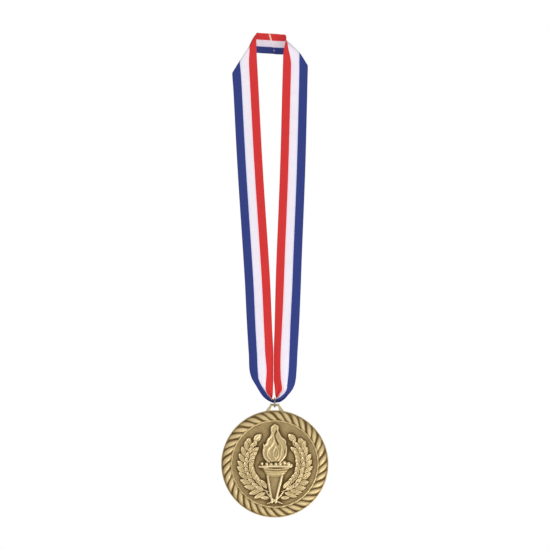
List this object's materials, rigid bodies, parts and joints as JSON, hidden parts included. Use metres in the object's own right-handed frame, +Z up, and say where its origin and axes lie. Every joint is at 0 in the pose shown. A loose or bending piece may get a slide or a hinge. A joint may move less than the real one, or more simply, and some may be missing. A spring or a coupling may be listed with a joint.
{
  "type": "medal",
  "caption": "Round award medal with rope border, torch and laurel relief, hung by a split jump ring from a striped neck ribbon.",
  "frame": {"origin": "middle of the neck band, where a neck or a peg carries the loop", "axes": "+Z up, the front of the medal faces -Y, +X to the viewer's right"},
  "size_m": [0.105, 0.0269, 0.4741],
  "materials": {
    "antique_gold": "cast, antique gold plate with darkened recesses",
    "ring_wire": "drawn wire, pale gold plate",
    "ribbon": "woven polyester in blue, white and red stripes",
    "ribbon_weld": "heat-fused ribbon edge"
  },
  "bodies": {
    "upper_ribbon": {"ribbon_upper_left": "ribbon", "ribbon_upper_right": "ribbon", "ribbon_neck_left": "ribbon", "ribbon_neck_right": "ribbon", "seam_weld": "ribbon_weld"},
    "lower_ribbon": {"ribbon_lower_left": "ribbon", "ribbon_lower_right": "ribbon"},
    "gathered_ribbon": {"ribbon_gather_left": "ribbon", "ribbon_gather_right": "ribbon", "ribbon_bight": "ribbon"},
    "ring": {"jump_ring": "ring_wire"},
    "medal": {"medal_disc": "antique_gold", "suspension_lug": "antique_gold", "rope_border": "antique_gold", "torch": "antique_gold", "flame": "antique_gold", "laurel_left": "antique_gold", "laurel_right": "antique_gold"}
  },
  "joints": [
    {"name": "ribbon_drape", "type": "hinge", "parent": "upper_ribbon", "child": "lower_ribbon", "pos_m": [0, -0.0134, -0.1765], "axis": [1, 0, 0], "range_deg": [-90, 90]},
    {"name": "ribbon_twist", "type": "hinge", "parent": "lower_ribbon", "child": "gathered_ribbon", "pos_m": [0, -0.0134, -0.2815], "axis": [0, 0, 1], "range_deg": [-90, 90], "stiffness_Nm_per_rad": 0.0015},
    {"name": "ring_swing", "type": "hinge", "parent": "gathered_ribbon", "child": "ring", "pos_m": [0, -0.0134, -0.3496], "axis": [1, 0, 0], "range_deg": [-60, 60]},
    {"name": "medal_swing", "type": "hinge", "parent": "ring", "child": "medal", "pos_m": [0, -0.0134, -0.35395], "axis": [1, 0, 0], "range_deg": [-80, 80]}
  ]
}
